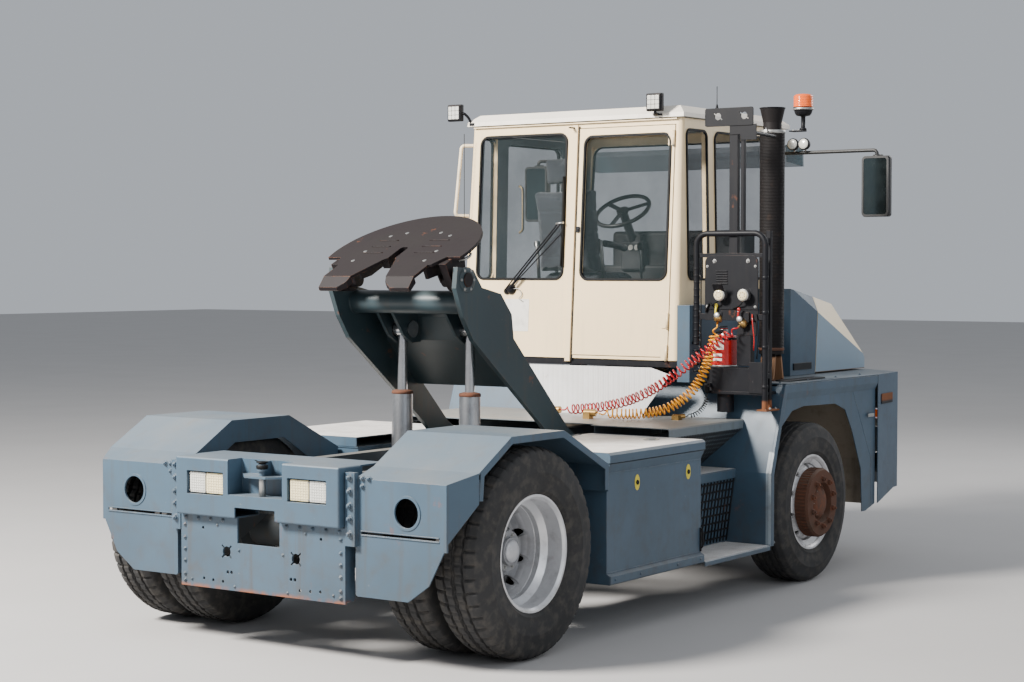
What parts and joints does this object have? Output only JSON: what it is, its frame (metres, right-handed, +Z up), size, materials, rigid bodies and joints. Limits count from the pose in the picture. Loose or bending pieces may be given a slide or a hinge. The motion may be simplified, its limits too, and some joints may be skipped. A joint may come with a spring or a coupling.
{
  "type": "terminal tractor",
  "caption": "Terminal tractor with a raised tilting fifth wheel on a hydraulic lift frame, boxy cab with a rear door, twin rear wheels and steered front wheels.",
  "frame": {"origin": "middle of the overall bounding box, at ground level", "axes": "+X forward, +Y to the left, +Z up"},
  "size_m": [5.432, 2.8, 3.15],
  "materials": {
    "body_paint": "satin, weathered blue-grey",
    "cream_paint": "satin cream",
    "dark_frame": "satin dark grey",
    "arm_paint": "satin, scuffed green-grey",
    "black_paint": "satin black",
    "greasy_steel": "greasy dark",
    "chrome_rod": "polished",
    "bright_steel": "bright",
    "rim_paint": "silver",
    "tyre_rubber": "matt, dusty",
    "glass": "clear, slightly tinted",
    "seat_cloth": "dark grey cloth",
    "dash_plastic": "matt dark grey",
    "tread_aluminium": "five-bar tread plate",
    "red_paint": "gloss red",
    "hose_red": "gloss",
    "hose_yellow": "gloss",
    "cable_black": "matt",
    "lamp_mix": "amber lens",
    "tinted_plastic": "dark tinted"
  },
  "bodies": {
    "chassis": {"cab_floor": "black_paint", "cab_glass": "glass", "cab_roof": "cream_paint", "cab_walls": "cream_paint", "cable_black": "cable_black", "coupling_rack": "black_paint", "dash": "dash_plastic", "engine": "dark_frame", "exhaust": "black_paint", "extinguisher": "red_paint", "frame": "dark_frame", "front_axle": "dark_frame", "front_deck": "body_paint", "front_fenders": "body_paint", "hose_couplings": "bright_steel", "hose_red": "hose_red", "hose_yellow": "hose_yellow", "lift_cradle": "dark_frame", "mirrors_rails": "black_paint", "rear_axle": "dark_frame", "rear_block": "body_paint", "rear_deck": "body_paint", "rear_fenders": "body_paint", "rear_panel": "body_paint", "roof_lamps": "lamp_mix", "seat": "seat_cloth", "side_boxes": "body_paint", "side_cover": "body_paint", "step_risers": "black_paint", "steps": "body_paint", "sun_visor": "tinted_plastic", "tread_cover": "tread_aluminium"},
    "rear_door": {"rear_door": "cream_paint", "door_glass_rear": "glass"},
    "side_door": {"side_door": "cream_paint", "door_glass_side": "glass"},
    "bonnet": {"bonnet": "cream_paint"},
    "box_lid": {"box_lid": "body_paint"},
    "steering_wheel": {"steering_wheel": "dash_plastic"},
    "knuckle_left": {"knuckle_left": "dark_frame"},
    "knuckle_right": {"knuckle_right": "dark_frame"},
    "wheel_front_left": {"tyre_front_left": "tyre_rubber", "rim_front_left": "rim_paint"},
    "wheel_front_right": {"tyre_front_right": "tyre_rubber", "rim_front_right": "rim_paint"},
    "wheels_rear_left": {"tyres_rear_left": "tyre_rubber", "rims_rear_left": "rim_paint"},
    "wheels_rear_right": {"tyres_rear_right": "tyre_rubber", "rims_rear_right": "rim_paint"},
    "lift_frame": {"lift_frame": "arm_paint"},
    "fifth_wheel": {"fifth_wheel": "greasy_steel"},
    "lift_barrel_left": {"lift_barrel_left": "black_paint"},
    "lift_stage_left": {"lift_stage_left": "bright_steel"},
    "lift_rod_left": {"lift_rod_left": "chrome_rod"},
    "lift_barrel_right": {"lift_barrel_right": "black_paint"},
    "lift_stage_right": {"lift_stage_right": "bright_steel"},
    "lift_rod_right": {"lift_rod_right": "chrome_rod"}
  },
  "joints": [
    {"name": "steer_left", "type": "hinge", "parent": "chassis", "child": "knuckle_left", "pos_m": [1.096, 0.98, 0.5], "axis": [0, 0, 1], "range_deg": [-32, 32]},
    {"name": "wheel_front_left_spin", "type": "hinge", "parent": "knuckle_left", "child": "wheel_front_left", "pos_m": [1.096, 1.12, 0.5], "axis": [0, 1, 0], "continuous": true},
    {"name": "wheels_rear_left_spin", "type": "hinge", "parent": "chassis", "child": "wheels_rear_left", "pos_m": [-2.004, 0.9525, 0.538], "axis": [0, 1, 0], "continuous": true},
    {"name": "steer_right", "type": "hinge", "parent": "chassis", "child": "knuckle_right", "pos_m": [1.096, -0.98, 0.5], "axis": [0, 0, 1], "range_deg": [-32, 32]},
    {"name": "wheel_front_right_spin", "type": "hinge", "parent": "knuckle_right", "child": "wheel_front_right", "pos_m": [1.096, -1.12, 0.5], "axis": [0, 1, 0], "continuous": true},
    {"name": "wheels_rear_right_spin", "type": "hinge", "parent": "chassis", "child": "wheels_rear_right", "pos_m": [-2.004, -0.9525, 0.538], "axis": [0, 1, 0], "continuous": true},
    {"name": "steering_wheel_turn", "type": "hinge", "parent": "chassis", "child": "steering_wheel", "pos_m": [1.416, 0.36, 2.36], "axis": [-0.5647, 0, 0.8253], "range_deg": [-640, 640]},
    {"name": "rear_door_hinge", "type": "hinge", "parent": "chassis", "child": "rear_door", "pos_m": [0.5069, -0.556, 2], "axis": [0.066, 0, 0.9978], "range_deg": [0, 95]},
    {"name": "side_door_hinge", "type": "hinge", "parent": "chassis", "child": "side_door", "pos_m": [1.699, 1.0496, 2], "axis": [0, 0.0199, -0.9998], "range_deg": [0, 80]},
    {"name": "bonnet_hinge", "type": "hinge", "parent": "chassis", "child": "bonnet", "pos_m": [2.606, 0, 1.302], "axis": [0, 1, 0], "range_deg": [0, 50]},
    {"name": "box_lid_hinge", "type": "hinge", "parent": "chassis", "child": "box_lid", "pos_m": [-0.804, -0.478, 0.992], "axis": [1, 0, 0], "range_deg": [-85, 0]},
    {"name": "lift_hinge", "type": "hinge", "parent": "chassis", "child": "lift_frame", "pos_m": [-0.354, 0, 0.86], "axis": [0, 1, 0], "range_deg": [-36, 2]},
    {"name": "fifth_wheel_tilt", "type": "hinge", "parent": "lift_frame", "child": "fifth_wheel", "pos_m": [-1.504, 0, 1.905], "axis": [0, -1, 0], "range_deg": [-65, 0]},
    {"name": "cylinder_left_hinge", "type": "hinge", "parent": "chassis", "child": "lift_barrel_left", "pos_m": [-1.204, 0.24, 0.3], "axis": [0, 1, 0], "range_deg": [-22.69, 1.73]},
    {"name": "cylinder_left_stage", "type": "slide", "parent": "lift_barrel_left", "child": "lift_stage_left", "axis": [0.0151, 0, 0.9999], "range_m": [-0.347, 0.0212]},
    {"name": "cylinder_left_rod", "type": "slide", "parent": "lift_stage_left", "child": "lift_rod_left", "axis": [0.0151, 0, 0.9999], "range_m": [-0.2397, 0.0152]},
    {"name": "cylinder_right_hinge", "type": "hinge", "parent": "chassis", "child": "lift_barrel_right", "pos_m": [-1.204, -0.24, 0.3], "axis": [0, 1, 0], "range_deg": [-22.69, 1.73]},
    {"name": "cylinder_right_stage", "type": "slide", "parent": "lift_barrel_right", "child": "lift_stage_right", "axis": [0.0151, 0, 0.9999], "range_m": [-0.347, 0.0212]},
    {"name": "cylinder_right_rod", "type": "slide", "parent": "lift_stage_right", "child": "lift_rod_right", "axis": [0.0151, 0, 0.9999], "range_m": [-0.2397, 0.0152]}
  ],
  "couplings": [
    {"joint": "steer_left", "follows": "steering_wheel_turn", "ratio": 0.05},
    {"joint": "steer_right", "follows": "steering_wheel_turn", "ratio": 0.05},
    {"joint": "cylinder_left_hinge", "follows": "lift_hinge", "ratio": 0.61649},
    {"joint": "cylinder_left_stage", "follows": "lift_hinge", "m_per_rad": 0.54909},
    {"joint": "cylinder_left_rod", "follows": "lift_hinge", "m_per_rad": 0.37825},
    {"joint": "cylinder_right_hinge", "follows": "lift_hinge", "ratio": 0.61649},
    {"joint": "cylinder_right_stage", "follows": "lift_hinge", "m_per_rad": 0.54909},
    {"joint": "cylinder_right_rod", "follows": "lift_hinge", "m_per_rad": 0.37825}
  ]
}
